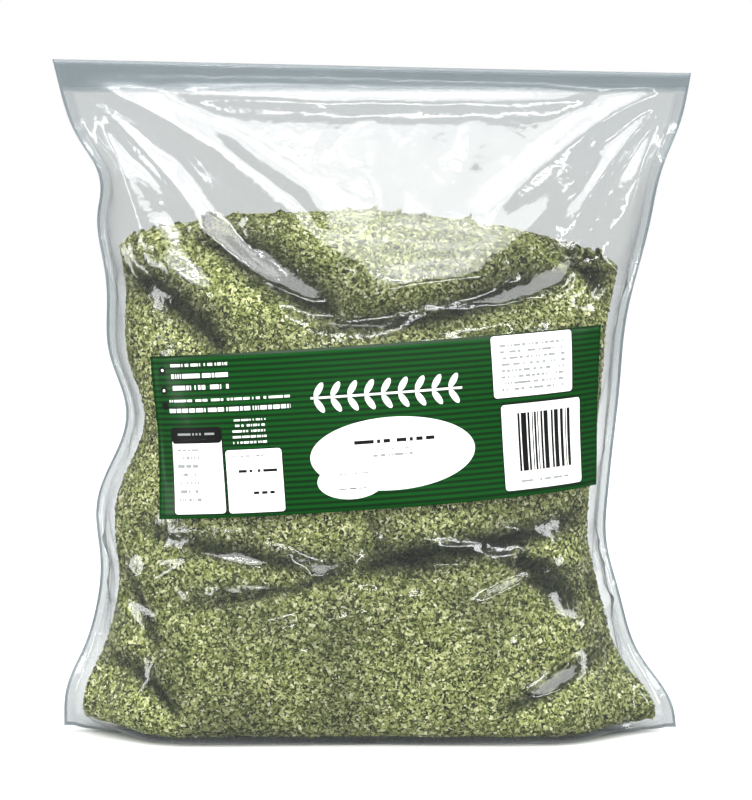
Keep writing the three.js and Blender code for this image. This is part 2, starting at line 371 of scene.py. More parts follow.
def outer_sheet(node):
    """The outer face of a film node as an open sheet of four-sided faces."""
    bm = node_copy(node)
    # The faces of the rim are about as narrow as the solid is thick.
    narrow = settings().film_solid_thickness * 1.25
    rim = [f for f in bm.faces if min(e.calc_length() for e in f.edges) < narrow]
    bmesh.ops.delete(bm, geom=rim, context="FACES")
    first, second = islands(bm)
    side = -1 if node == "film_front" else 1
    mean = [side * sum(v.co.y for v in group) / len(group) for group in (first, second)]
    bmesh.ops.delete(bm, geom=second if mean[0] > mean[1] else first, context="VERTS")
    bmesh.ops.join_triangles(bm, faces=bm.faces, angle_face_threshold=3.0, angle_shape_threshold=3.0)
    bmesh.ops.recalc_face_normals(bm, faces=bm.faces)
    if side * sum(face.normal.y * face.calc_area() for face in bm.faces) < 0:
        bmesh.ops.reverse_faces(bm, faces=bm.faces)
    return bm


def edge_distances(bm):
    """Each vertex's distance from the sheet's rim, walked along the mesh."""
    distance = {v: 0.0 for v in bm.verts if v.is_boundary}
    front = list(distance)
    while front:
        reached = []
        for vert in front:
            for edge in vert.link_edges:
                other = edge.other_vert(vert)
                length = distance[vert] + edge.calc_length()
                if length < distance.get(other, 1e9) - 1e-9:
                    distance[other] = length
                    reached.append(other)
        front = reached
    return distance


def film_mesh(node):
    """The outer sheet, made fine enough to wrinkle, with its distance from the rim stored."""
    obj = new_object("film", outer_sheet(node))
    fine = obj.modifiers.new("Fine", "SUBSURF")
    fine.levels = fine.render_levels = settings().film_levels
    fine.boundary_smooth = "PRESERVE_CORNERS"
    apply_modifiers(obj)
    bm = bmesh.new()
    bm.from_mesh(obj.data)
    layer = bm.verts.layers.float.new("rim_distance")
    for vert, length in edge_distances(bm).items():
        vert[layer] = length
    bm.to_mesh(obj.data)
    bm.free()
    return obj


def wrinkle_film(film):
    """Lets the film buckle over the heap: Cloth with a little spare film, pinned along its welds."""
    setting = settings()
    scale = setting.simulation_scale
    film.shape_key_add(name="standing")
    cut = film.shape_key_add(name="cut")
    for vert, spare in zip(film.data.vertices, cut.data):
        spare.co = vert.co * Vector((1 + setting.spare_across, 1, 1 + setting.spare_up))
    pins = film.vertex_groups.new(name="welds")
    distances = film.data.attributes["rim_distance"].data
    fade = 0.6 * setting.weld_width
    low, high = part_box("label")
    for i, item in enumerate(distances):
        weight = 1 - (item.value - setting.weld_width) / fade
        place = film.data.vertices[i].co
        if place.y < 0 and low.x < place.x < high.x and low.z < place.z < high.z:
            under = min(place.x - low.x, high.x - place.x, place.z - low.z, high.z - place.z)
            weight = max(weight, min(1.0, under / setting.label_grip))
        if weight > 0:
            pins.add([i], min(1.0, weight), "REPLACE")
    film.data.transform(Matrix.Scale(scale, 4), shape_keys=True)
    cloth = film.modifiers.new("Cloth", "CLOTH")
    cloth.settings.rest_shape_key = cut
    cloth.settings.quality = 8
    cloth.settings.mass = 0.15
    cloth.settings.tension_stiffness = 25
    cloth.settings.compression_stiffness = 25
    cloth.settings.shear_stiffness = 15
    cloth.settings.bending_stiffness = setting.film_stiffness
    cloth.settings.air_damping = 2
    cloth.settings.vertex_group_mass = pins.name
    cloth.settings.effector_weights.gravity = 0.1
    cloth.collision_settings.use_collision = True
    cloth.collision_settings.distance_min = 0.002
    cloth.collision_settings.use_self_collision = False
    scene = bpy.context.scene
    cloth.point_cache.frame_start = 1
    cloth.point_cache.frame_end = setting.simulation_frames
    for number in range(1, setting.simulation_frames + 1):
        scene.frame_set(number)
    apply_modifiers(film)
    scene.frame_set(1)
    film.data.transform(Matrix.Scale(1 / scale, 4))


def crease_rise(x, up, crease):
    """A crease's height at a place, and how far above (1) or below (-1) its crest the place lies.

    The crest is sharp, and it fades out at both ends.
    """
    x0, up0, x1, up1, rise, half_width, bow = crease
    length = math.hypot(x1 - x0, up1 - up0)
    along = ((x - x0) * (x1 - x0) + (up - up0) * (up1 - up0)) / length**2
    if not 0 < along < 1:
        return 0.0, 0.0
    fade = 4 * along * (1 - along)
    aside = ((up - up0) * (x1 - x0) - (x - x0) * (up1 - up0)) / length
    above = math.copysign(1, x1 - x0) * (aside - bow * fade) / half_width
    if abs(above) > 1:
        return 0.0, 0.0
    return rise * math.sqrt(fade) * (1 - abs(above)) ** 1.5, above


def press_creases(film, side):
    """Folds the creases into a web, keeps it clear of the flakes, and lays its base on the floor.

    The back has the front's creases, mirrored.
    """
    heap = BVHTree.FromObject(bpy.data.objects["heap_core"], bpy.context.evaluated_depsgraph_get())
    clearance = settings().film_clearance
    bm = bmesh.new()
    bm.from_mesh(film.data)
    layer = bm.verts.layers.float["rim_distance"]
    low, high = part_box("label")
    for vert in bm.verts:
        x, up = vert.co.x / MM * -side, vert.co.z / MM
        free = (vert[layer] - settings().weld_width) / CREASE_FADE
        if side < 0:
            beside = max(low.x - vert.co.x, vert.co.x - high.x, low.z - vert.co.z, vert.co.z - high.z)
            free = min(free, beside / CREASE_FADE)
        if free > 0:
            rise = max(crease_rise(x, up, crease)[0] for crease in CREASES)
            vert.co += vert.normal * rise * min(1.0, free) * MM
        place, outwards, _, _ = heap.find_nearest(vert.co, 2 * clearance)
        if place is not None:
            gap = (vert.co - place).dot(outwards)
            vert.co += outwards * max(0.0, clearance - gap)
        vert.co.z = max(vert.co.z, FLOOR_GAP)
    bm.to_mesh(film.data)
    bm.free()


# The heap


def heap_collider():
    """The heap as the film feels it: smoothed, and a little fatter than its solid."""
    bm = node_copy("parsley_flakes")
    smooth(bm, COLLIDER_SMOOTHING)
    bm.normal_update()
    for vert in bm.verts:
        vert.co += vert.normal * COLLIDER_GROWTH * MM
    bmesh.ops.scale(bm, vec=[settings().simulation_scale] * 3, verts=bm.verts)
    obj = new_object("heap_collider", bm)
    collision = obj.modifiers.new("Collision", "COLLISION")
    collision.settings.thickness_outer = 0.002
    collision.settings.cloth_friction = 2
    return obj


def heap_core():
    """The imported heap, smoothed, creased by the film and a little smaller than its flakes."""
    bm = node_copy("parsley_flakes")
    bmesh.ops.subdivide_edges(bm, edges=bm.edges, cuts=2, use_grid_fill=True)
    smooth(bm, CORE_SMOOTHING)
    bm.normal_update()
    layer = bm.verts.layers.float.new("fold_shade")
    for vert in bm.verts:
        vert.co -= vert.normal * settings().flake_length * CORE_DEPTH
        # The valleys fade out where the heap turns to its sides and its top.
        facing = min(1.0, abs(vert.normal.y) * 1.5)
        x = vert.co.x if vert.co.y < 0 else -vert.co.x
        depth, above = max(crease_rise(x / MM, vert.co.z / MM, valley) for valley in VALLEYS)
        vert.co -= vert.normal * facing * depth * MM
        # Painted shade: the upper side of a fold is stored to be painted dark, and the lower side a
        # little pale, as light from above would fall.
        tone = max(-0.3, min(1.0, 1 + 4 * above))
        vert[layer] = facing * tone * min(1.0, depth / 4)
    return new_object("heap_core", bm)


def flake_shape(number, stem):
    """One dried scrap of leaf, bent and torn, or a bit of thin stem, one unit long."""
    shuffle = random.Random(number)
    bm = bmesh.new()
    bmesh.ops.create_grid(bm, x_segments=1, y_segments=1, size=0.5)
    width = 0.14 if stem else shuffle.uniform(0.5, 0.85)
    bmesh.ops.scale(bm, vec=(1, width, 1), verts=bm.verts)
    jitter = 0.03 if stem else 0.22
    for vert in bm.verts:
        vert.co += Vector([shuffle.uniform(-jitter, jitter) for _ in range(3)])
    bmesh.ops.triangulate(bm, faces=bm.faces)
    return new_object(f"flake_{number}", bm)


def scatter_tree(shapes, density, seed):
    """Geometry nodes that lay flakes over a surface as real faces, each with its own tint."""
    tree = bpy.data.node_groups.new("scatter_flakes", "GeometryNodeTree")
    tree.interface.new_socket("Geometry", in_out="INPUT", socket_type="NodeSocketGeometry")
    tree.interface.new_socket("Geometry", in_out="OUTPUT", socket_type="NodeSocketGeometry")
    surface = add(tree, "NodeGroupInput")
    points = add(
        tree,
        "GeometryNodeDistributePointsOnFaces",
        {"Mesh": surface.outputs[0]},
        {"Density": density, "Seed": seed},
    )
    chosen = add(tree, "GeometryNodeCollectionInfo", transform_space="RELATIVE")
    chosen.inputs["Collection"].default_value = shapes
    chosen.inputs["Separate Children"].default_value = True
    tint = add(
        tree,
        "FunctionNodeRandomValue",
        inputs={"Seed": seed + 1},
        data_type="FLOAT",
    )
    tinted = add(
        tree,
        "GeometryNodeStoreNamedAttribute",
        {"Geometry": points.outputs["Points"], "Value": tint.outputs[1]},
        {"Name": "tint"},
        data_type="FLOAT",
        domain="POINT",
    )
    tip = add(
        tree,
        "FunctionNodeRandomValue",
        inputs={
            "Seed": seed + 2,
            0: (-FLAKE_TIP, -FLAKE_TIP, -math.pi),
            1: (FLAKE_TIP, FLAKE_TIP, math.pi),
        },
        data_type="FLOAT_VECTOR",
    )
    turned = add(
        tree,
        "FunctionNodeRotateRotation",
        {"Rotation": points.outputs["Rotation"], "Rotate By": tip.outputs[0]},
        rotation_space="LOCAL",
    )
    length = settings().flake_length
    size = add(
        tree,
        "FunctionNodeRandomValue",
        inputs={"Seed": seed + 3, 2: length * FLAKE_SHORTEST, 3: length * FLAKE_LONGEST},
        data_type="FLOAT",
    )
    laid = add(
        tree,
        "GeometryNodeInstanceOnPoints",
        {
            "Points": tinted.outputs["Geometry"],
            "Instance": chosen.outputs["Instances"],
            "Rotation": turned.outputs["Rotation"],
            "Scale": size.outputs[1],
        },
        {"Pick Instance": True},
    )
    real = add(tree, "GeometryNodeRealizeInstances", {"Geometry": laid.outputs["Instances"]})
    add(tree, "NodeGroupOutput", {0: real.outputs["Geometry"]})
    return tree


def flake_shapes():
    """A hidden collection of flake shapes, of which the last is a bit of stem."""
    shapes = bpy.data.collections.new("flake_shapes")
    for number in range(FLAKE_SHAPES):
        shape = flake_shape(number, stem=number == FLAKE_SHAPES - 1)
        bpy.context.scene.collection.objects.unlink(shape)
        shapes.objects.link(shape)
    return shapes


def scatter_flakes(name, surface, shapes, density, seed):
    """A piece made of loose flakes that cover the surface."""
    obj = bpy.data.objects.new(name, surface)
    bpy.context.scene.collection.objects.link(obj)
    scatter = obj.modifiers.new("Scatter", "NODES")
    scatter.node_group = scatter_tree(shapes, density, seed)
    apply_modifiers(obj)
    return obj


def part_of_mesh(mesh, keep):
    """A copy of the mesh with only the faces whose normal keep() accepts."""
    bm = bmesh.new()
    bm.from_mesh(mesh)
    out = [face for face in bm.faces if not keep(face.normal)]
    bmesh.ops.delete(bm, geom=out, context="FACES")
    part = bpy.data.meshes.new("part")
    bm.to_mesh(part)
    bm.free()
    return part


# The materials of the heap and the film


def flake_material():
    """Dried parsley leaf: matte and papery, olive to grey green, with pale straw-coloured stems, and
    painted shade along the folds of the film.
    """
    material, tree = new_material("dried_parsley_leaf")
    tint = add(tree, "ShaderNodeAttribute", attribute_name="tint")
    colour = add(tree, "ShaderNodeValToRGB", {"Fac": tint.outputs["Fac"]})
    ramp_stops(
        colour,
        [
            (0.0, linear("3C4219")),
            (0.2, linear("666E30")),
            (0.5, linear("93995A")),
            (0.75, linear("B5B87A")),
            (0.93, linear("D0CF9E")),
            (1.0, linear("ECE8C8")),
        ],
    )
    coordinates = add(tree, "ShaderNodeTexCoord")
    # Drifts of paler and darker leaf, about 50 mm across.
    drift = add(
        tree,
        "ShaderNodeTexNoise",
        {"Vector": coordinates.outputs["Object"]},
        {"Scale": 1 / (50 * MM), "Detail": 5.0},
    )
    shade = add(
        tree,
        "ShaderNodeMapRange",
        {"Value": drift.outputs["Fac"]},
        {"From Min": 0.38, "From Max": 0.62, "To Min": 0.85, "To Max": 1.55},
    )
    # Painted shade: leaf on the upper side of a fold of the film is darkened, and on its lower side
    # lightened a little.
    fold = add(tree, "ShaderNodeAttribute", attribute_name="fold_shade")
    painted_shade = math_node(tree, "SUBTRACT", 1, math_node(tree, "MULTIPLY", fold.outputs["Fac"], 0.93))
    value = math_node(tree, "MULTIPLY", shade.outputs[0], painted_shade)
    toned = add(
        tree, "ShaderNodeHueSaturation", {"Value": value, "Color": colour.outputs["Color"]}
    )
    leaf = add(
        tree,
        "ShaderNodeBsdfPrincipled",
        {"Base Color": toned.outputs["Color"]},
        {"Roughness": 0.8},
    )
    add(tree, "ShaderNodeOutputMaterial", {"Surface": leaf.outputs[0]})
    return material


def core_material():
    """The heap between the flakes: olive crumbs, about 2 mm across, in a dark colour that is painted
    shade deep between the flakes.
    """
    material, tree = new_material("parsley_crumbs_painted_shade")
    coordinates = add(tree, "ShaderNodeTexCoord")
    crumbs = add(
        tree,
        "ShaderNodeTexVoronoi",
        {"Vector": coordinates.outputs["Object"]},
        {"Scale": 1 / (2 * MM)},
    )
    colour = add(tree, "ShaderNodeValToRGB", {"Fac": crumbs.outputs["Color"]})
    ramp_stops(
        colour, [(0.2, linear("1B210B")), (0.6, linear("333D18")), (0.95, linear("5A6430"))]
    )
    bump = add(
        tree,
        "ShaderNodeBump",
        {"Height": crumbs.outputs["Distance"]},
        {"Strength": 0.8, "Distance": 0.8 * MM},
    )
    leaf = add(
        tree,
        "ShaderNodeBsdfPrincipled",
        {"Base Color": colour.outputs["Color"], "Normal": bump.outputs["Normal"]},
        {"Roughness": 0.9},
    )
    add(tree, "ShaderNodeOutputMaterial", {"Surface": leaf.outputs[0]})
    return material


def film_material():
    """Blown polyethylene film: clear and glossy, with a faint milky haze, stronger on the welds."""
    material, tree = new_material("polyethylene_film")
    rim = add(tree, "ShaderNodeAttribute", attribute_name="rim_distance")
    coordinates = add(tree, "ShaderNodeTexCoord")
    # Fine crinkle of stiff film, about 8 mm across, on softer buckles about 26 mm across.
    crinkle, buckles = [
        add(
            tree,
            "ShaderNodeTexNoise",
            {"Vector": coordinates.outputs["Object"]},
            {"Scale": 1 / (width * MM), "Detail": 4.0, "Roughness": 0.5},
        ).outputs["Fac"]
        for width in (8, 26)
    ]
    relief = math_node(tree, "ADD", crinkle, math_node(tree, "MULTIPLY", buckles, 4.5))
    bump = add(
        tree,
        "ShaderNodeBump",
        {"Height": relief},
        {"Strength": 0.4, "Distance": 0.6 * MM},
    )
    # Light leaves the far face of the film unbent, so both faces take the index from outside.
    facing = add(tree, "ShaderNodeNewGeometry")
    index = add(
        tree,
        "ShaderNodeMapRange",
        {"Value": facing.outputs["Backfacing"]},
        {"To Min": 1.5, "To Max": 1 / 1.5},
    )
    fresnel = add(
        tree, "ShaderNodeFresnel", {"IOR": index.outputs[0], "Normal": bump.outputs["Normal"]}
    )
    gloss_share = math_node(tree, "MINIMUM", fresnel.outputs["Fac"], 0.5)
    clear = add(tree, "ShaderNodeBsdfTransparent", inputs={"Color": linear("F5F6F6")})
    gloss = add(
        tree,
        "ShaderNodeBsdfGlossy",
        {"Normal": bump.outputs["Normal"]},
        {"Color": linear("FFFFFF"), "Roughness": 0.1},
    )
    clean = add(
        tree,
        "ShaderNodeMixShader",
        {0: gloss_share, 1: clear.outputs[0], 2: gloss.outputs[0]},
    )
    front_scatter = add(
        tree,
        "ShaderNodeBsdfPrincipled",
        {"Normal": bump.outputs["Normal"]},
        {"Base Color": linear("98A2A6"), "Roughness": 0.2, "IOR": 1.5},
    )
    back_scatter = add(tree, "ShaderNodeBsdfTranslucent", inputs={"Color": linear("A2ACB0")})
    milky = add(
        tree,
        "ShaderNodeMixShader",
        {1: front_scatter.outputs[0], 2: back_scatter.outputs[0]},
        {0: 0.45},
    )
    haze = add(
        tree,
        "ShaderNodeMapRange",
        {"Value": rim.outputs["Fac"]},
        {"From Min": 5 * MM, "From Max": 7 * MM, "To Min": 0.1, "To Max": 0.015},
    ).outputs[0]
    # The cut edge gathers light into a thin grey line.
    cut_edge = add(
        tree,
        "ShaderNodeMapRange",
        {"Value": rim.outputs["Fac"]},
        {"From Min": 0.6 * MM, "From Max": 1.6 * MM, "To Min": 0.7, "To Max": 0},
    ).outputs[0]
    # The top weld is a wider, greyer band.
    height = add(tree, "ShaderNodeSeparateXYZ", {0: coordinates.outputs["Object"]}).outputs[2]
    top_weld = add(
        tree,
        "ShaderNodeMapRange",
        {"Value": height},
        {"From Min": 304 * MM, "From Max": 308 * MM, "To Min": 0, "To Max": 0.65},
    ).outputs[0]
    milkiness = math_node(tree, "MAXIMUM", math_node(tree, "MAXIMUM", haze, top_weld), cut_edge)
    film = add(
        tree,
        "ShaderNodeMixShader",
        {0: milkiness, 1: clean.outputs[0], 2: milky.outputs[0]},
    )
    add(tree, "ShaderNodeOutputMaterial", {"Surface": film.outputs[0]})
    return material


# The label


def place_on_film(tree, x, z):
    """Where a line from the front meets the film, at a place of the bag's middle plane."""
    start = Vector((x, -0.5, z))
    place = tree.ray_cast(start, Vector((0, 1, 0)))[0]
    if place is None:
        raise RuntimeError("the label reaches past the film")
    return place


def paste_row(tree, up, steps, step):
    """Places along one row of the label, walked over the film both ways from the middle."""
    setting = settings()
    along = Vector((math.cos(setting.label_tilt), 0, math.sin(setting.label_tilt)))
    across_row = Vector((-along.z, 0, along.x))
    middle = Vector((setting.label_across, 0, setting.label_up)) + up * across_row
    places = {0: place_on_film(tree, middle.x, middle.z)}
    for way in (-1, 1):
        flat = middle.copy()
        for number in range(1, steps // 2 + 1):
            reach = step
            last = places[way * (number - 1)]
            for _ in range(3):
                ahead = flat + way * reach * along
                place = place_on_film(tree, ahead.x, ahead.z)
                reach *= step / (place - last).length
            flat = flat + way * reach * along
            places[way * number] = place_on_film(tree, flat.x, flat.z)
    return [places[number] for number in sorted(places)]


def label_mesh(film):
    """The label as a sheet stuck on the wrinkled film: a flat grid moved onto it row by row."""
    setting = settings()
    tree = BVHTree.FromObject(film, bpy.context.evaluated_depsgraph_get())
    step = setting.label_step
    height = setting.label_height
    columns = 2 * round(setting.label_width / step / 2)
    rows = round(height / step)
    bm = bmesh.new()
    bmesh.ops.create_grid(bm, x_segments=columns, y_segments=rows, size=0.5)
    bm.verts.ensure_lookup_table()
    places = [paste_row(tree, (row / rows - 0.5) * height, columns, step) for row in range(rows + 1)]
    uv = bm.loops.layers.uv.new("print")
    for face in bm.faces:
        for loop in face.loops:
            loop[uv].uv = (loop.vert.co.x + 0.5, loop.vert.co.y + 0.5)
    for vert in bm.verts:
        column = round((vert.co.x + 0.5) * columns)
        row = round((vert.co.y + 0.5) * rows)
        vert.co = places[row][column]
    smooth(bm, setting.label_smoothing, "y")
    for vert in bm.verts:
        film_y = place_on_film(tree, vert.co.x, vert.co.z).y
        vert.co.y = min(vert.co.y, film_y) - setting.label_lift
    bmesh.ops.recalc_face_normals(bm, faces=bm.faces)
    if sum(face.normal.y for face in bm.faces) > 0:
        bmesh.ops.reverse_faces(bm, faces=bm.faces)
    return new_object("printed_label", bm)


def rounded_box(tree, place, box, radius):
    """1 inside a box with round corners, given as (left, bottom, right, top) in millimetres."""
    left, bottom, right, top = box
    centre = ((left + right) / 2, (bottom + top) / 2, 0)
    inner = ((right - left) / 2 - radius, (top - bottom) / 2 - radius, 0)
    apart = vector_node(tree, "ABSOLUTE", vector_node(tree, "SUBTRACT", place, centre))
    outside = vector_node(tree, "MAXIMUM", vector_node(tree, "SUBTRACT", apart, inner))
    length = add(tree, "ShaderNodeVectorMath", {0: outside}, operation="LENGTH").outputs["Value"]
    return math_node(tree, "LESS_THAN", length, radius)


def ellipse(tree, place, centre, half):
    """1 inside an ellipse, in millimetres."""
    apart = vector_node(tree, "SUBTRACT", place, (*centre, 0))
    scaled = vector_node(tree, "DIVIDE", apart, (*half, 1))
    length = add(tree, "ShaderNodeVectorMath", {0: scaled}, operation="LENGTH").outputs["Value"]
    return math_node(tree, "LESS_THAN", length, 1)


def dashed_rows(tree, place, box, pitch, cell, share):
    """1 on rows of short dashes that stand for print too small to read."""
    cells = vector_node(tree, "DIVIDE", place, (cell, pitch, 1))
    whole = vector_node(tree, "FLOOR", cells)
    chance = add(
        tree, "ShaderNodeTexWhiteNoise", {"Vector": whole}, noise_dimensions="2D"
    ).outputs["Value"]
    shown = math_node(tree, "LESS_THAN", chance, share)
    part = add(tree, "ShaderNodeSeparateXYZ", {0: vector_node(tree, "FRACTION", cells)})
    height = math_node(tree, "LESS_THAN", part.outputs[1], DASH_HEIGHT)
    inside = rounded_box(tree, place, box, SHARP_CORNER)
    return math_node(tree, "MULTIPLY", math_node(tree, "MULTIPLY", shown, height), inside)


def bars(tree, place, box, width):
    """1 on upright bars of uneven widths that hold no code."""
    across = add(tree, "ShaderNodeSeparateXYZ", {0: place}).outputs[0]
    whole = math_node(tree, "FLOOR", math_node(tree, "DIVIDE", across, width))
    chance = add(tree, "ShaderNodeTexWhiteNoise", {"W": whole}, noise_dimensions="1D").outputs["Value"]
    dark = math_node(tree, "LESS_THAN", chance, BAR_SHARE)
    return math_node(tree, "MULTIPLY", dark, rounded_box(tree, place, box, SHARP_CORNER))


def leaf_row(tree, place, box, pitch):
    """1 on a straight stem with a pair of leaning leaves in every pitch, as a plain ornament."""
    _, bottom, _, top = box
    middle = (bottom + top) / 2
    reach = (top - bottom) / 2
    split = add(tree, "ShaderNodeSeparateXYZ", {0: place})
    aside = math_node(tree, "ABSOLUTE", math_node(tree, "SUBTRACT", split.outputs[1], middle))
    stem = math_node(tree, "LESS_THAN", aside, STEM_HALF_WIDTH)
    share = math_node(tree, "FRACT", math_node(tree, "DIVIDE", split.outputs[0], pitch))
    along = math_node(tree, "MULTIPLY", math_node(tree, "SUBTRACT", share, 0.5), pitch)
    leaning = math_node(tree, "SUBTRACT", along, math_node(tree, "MULTIPLY", aside, LEAF_LEAN))
    leaf_place = add(tree, "ShaderNodeCombineXYZ", {0: leaning, 1: aside}).outputs[0]
    leaf = ellipse(tree, leaf_place, (-0.25 * reach, 0.5 * reach), (0.22 * pitch, 0.45 * reach))
    ornament = math_node(tree, "MAXIMUM", stem, leaf)
    return math_node(tree, "MULTIPLY", ornament, rounded_box(tree, place, box, SHARP_CORNER))


def bullet(tree, place, up, radius):
    """1 inside a disc of the left-hand column of bullets."""
    return ellipse(tree, place, (BULLET_ACROSS, up), (radius, radius))


def print_layers(tree, place):
    """The print over the green ground, from the lowest layer up: masks, each with its ink."""
    layers = []
    for left, bottom, right, top in PANELS:
        grown = (left - OUTLINE_WIDTH, bottom - OUTLINE_WIDTH, right + OUTLINE_WIDTH, top + OUTLINE_WIDTH)
        layers.append((rounded_box(tree, place, grown, OUTLINE_CORNER), "black"))
    layers += [(rounded_box(tree, place, box, PANEL_CORNER), "white") for box in PANELS]
    layers += [(ellipse(tree, place, centre, half), "white") for centre, half in OVALS]
    layers.append((rounded_box(tree, place, PANEL_HEADER, PANEL_CORNER), "black"))
    layers.append((rounded_box(tree, place, PANEL_RULE, RULE_CORNER), "grey"))
    layers.append((leaf_row(tree, place, LEAF_ROW, LEAF_PITCH), "white"))
    for box, pitch, cell, share, ink in DASHES:
        layers.append((dashed_rows(tree, place, box, pitch, cell, share), ink))
    layers.append((bars(tree, place, BARS, BAR_WIDTH), "black"))
    layers += [(bullet(tree, place, up, BULLET_RADIUS), "black") for up in BULLET_HEIGHTS]
    layers += [(bullet(tree, place, up, BULLET_HOLE), "white") for up in BULLET_HEIGHTS[:-1]]
    return layers


def label_material():
    """Glossy polypropylene label: print in two greens, with white panels and an even clear coat."""
    setting = settings()
    material, tree = new_material("polypropylene_label_print")
    uv = add(tree, "ShaderNodeUVMap", uv_map="print")
    size = (setting.label_width / MM, setting.label_height / MM, 1)
    place = vector_node(tree, "MULTIPLY", uv.outputs["UV"], size)

    green = tuple(setting.label_green) + (1.0,)
    dark_green = tuple(setting.label_dark_green) + (1.0,)

    # The ground is pinstriped.
    height = add(tree, "ShaderNodeSeparateXYZ", {0: place}).outputs[1]
    turn = math_node(tree, "MULTIPLY", height, 2 * math.pi / PINSTRIPE_PITCH)
    stripe = math_node(tree, "SINE", turn)
    stripe_share = add(
        tree, "ShaderNodeMapRange", {"Value": stripe}, {"From Min": -0.6, "From Max": 0.6}
    )
    colour = add(
        tree,
        "ShaderNodeMixRGB",
        {"Fac": stripe_share.outputs[0]},
        {"Color1": dark_green, "Color2": green},
    ).outputs["Color"]
    for mask, ink in print_layers(tree, place):
        colour = add(
            tree, "ShaderNodeMixRGB", {"Fac": mask, "Color1": colour}, {"Color2": linear(INKS[ink])}
        ).outputs["Color"]

    # The stock's slight orange peel, about 3 mm across.
    coordinates = add(tree, "ShaderNodeTexCoord")
    peel = add(
        tree, "ShaderNodeTexNoise", {"Vector": coordinates.outputs["Object"]}, {"Scale": 1 / (3 * MM)}
    )
    bump = add(
        tree,
        "ShaderNodeBump",
        {"Height": peel.outputs["Fac"]},
        {"Strength": 0.15, "Distance": 0.1 * MM},
    )
    printed = add(
        tree,
        "ShaderNodeBsdfPrincipled",
        {"Base Color": colour, "Normal": bump.outputs["Normal"]},
        {
            "Roughness": 0.4,
            "IOR": 1.5,
            "Specular IOR Level": 0.2,
            "Coat Weight": 0.1,
            "Coat Roughness": 0.1,
        },
    )
    add(tree, "ShaderNodeOutputMaterial", {"Surface": printed.outputs[0]})
    return material


# The add-on


def length_setting(name, description, default):
    """A setting that is a length, in metres."""
    return FloatProperty(name=name, description=description, default=default, unit="LENGTH")


def colour_setting(name, description, hex_colour):
    """A setting that is a colour."""
    return FloatVectorProperty(
        name=name, description=description, subtype="COLOR", default=linear(hex_colour)[:3]
    )


class ParsleyBagSettings(bpy.types.PropertyGroup):
    flake_length: length_setting("Flake Length", "Length of a middling flake", 1.95 * MM)
    flakes_per_square_cm: FloatProperty(
        name="Flakes per Square Centimetre", description="How thickly the flakes lie", default=150.0
    )
    label_width: length_setting("Label Width", "Width of the flat label", 219 * MM)
    label_height: length_setting("Label Height", "Height of the flat label", 75.5 * MM)
    label_thickness: length_setting("Label Thickness", "Thickness of the label stock", 0.12 * MM)
    label_across: length_setting("Label Across", "The label's middle, right of the bag's", 5 * MM)
    label_up: length_setting("Label Up", "Height of the label's middle", 151.5 * MM)
    label_tilt: FloatProperty(
        name="Label Tilt",
        description="How far the label is turned on the bag",
        default=math.radians(4),
        subtype="ANGLE",
    )
    label_step: length_setting("Label Step", "Size of the label's faces", 2 * MM)
    label_lift: length_setting("Label Lift", "Gap that the label keeps to the film", 0.3 * MM)
    label_grip: length_setting("Label Grip", "How far inside its edge it holds the film flat", 22 * MM)
    label_smoothing: IntProperty(
        name="Label Smoothing",
        description="How far the stiff label bridges small wrinkles",
        default=6,
    )
    label_green: colour_setting("Label Green", "The lighter stripes", "01480F")
    label_dark_green: colour_setting("Label Dark Green", "The darker stripes", "012806")
    film_solid_thickness: length_setting(
        "Film Solid Thickness", "Thickness of the packed film solids", 0.6 * MM
    )
    film_thickness: length_setting("Film Thickness", "Thickness of the finished film", 0.15 * MM)
    weld_width: length_setting("Weld Width", "Width of the flat heat welds", 6 * MM)
    film_clearance: length_setting("Film Clearance", "Gap between the film and the heap", 1.5 * MM)
    film_levels: IntProperty(
        name="Film Levels",
        description="Subdivision of the film before it is wrinkled",
        default=2,
        min=1,
        max=3,
    )
    simulation_scale: FloatProperty(
        name="Simulation Scale",
        description="How much larger the bag is while the film is simulated",
        default=10.0,
    )
    simulation_frames: IntProperty(
        name="Simulation Frames", description="Steps that the film is given to settle", default=30
    )
    spare_up: FloatProperty(
        name="Spare Film Upwards",
        description="Share by which the film is longer than it stands",
        default=0.05,
    )
    spare_across: FloatProperty(
        name="Spare Film Across",
        description="Share by which the film is wider than it stands",
        default=0.02,
    )
    film_stiffness: FloatProperty(
        name="Film Stiffness",
        description="Bending stiffness of the film in the simulation",
        default=0.2,
    )


class PARSLEY_OT_heap(bpy.types.Operator):
    """Cover the heap with loose curled flakes of dried parsley"""

    bl_idname = "parsley.heap"
    bl_label = "Parsley Flakes"

    def execute(self, context):
        core = heap_core()
        shapes = flake_shapes()
        material = flake_material()
        density = settings().flakes_per_square_cm * 1e4
        covers = {
            "flakes_front": lambda normal: normal.y < -SIDE_NORMAL and normal.z < TOP_NORMAL,
            "flakes_back": lambda normal: normal.y > SIDE_NORMAL and normal.z < TOP_NORMAL,
            "flakes_top": lambda normal: normal.z >= TOP_NORMAL or abs(normal.y) <= SIDE_NORMAL,
        }
        for seed, (name, keep) in enumerate(covers.items()):
            surface = part_of_mesh(core.data, keep)
            cover = scatter_flakes(name, surface, shapes, density, 10 * seed)
            finish_piece(cover, "parsley", material)
        finish_piece(core, "parsley", core_material(), "parsley_flakes")
        for shape in list(shapes.objects):
            bpy.data.objects.remove(shape)
        return {"FINISHED"}


class PARSLEY_OT_label(bpy.types.Operator):
    """Stick the printed label across the front web, following its wrinkles"""

    bl_idname = "parsley.label"
    bl_label = "Label"

    def execute(self, context):
        label = label_mesh(bpy.data.objects["film_web_front"])
        stock = label.modifiers.new("Stock", "SOLIDIFY")
        stock.thickness = settings().label_thickness
        stock.offset = -1
        shade_smooth(label)
        finish_piece(label, "label", label_material(), "label")
        return {"FINISHED"}


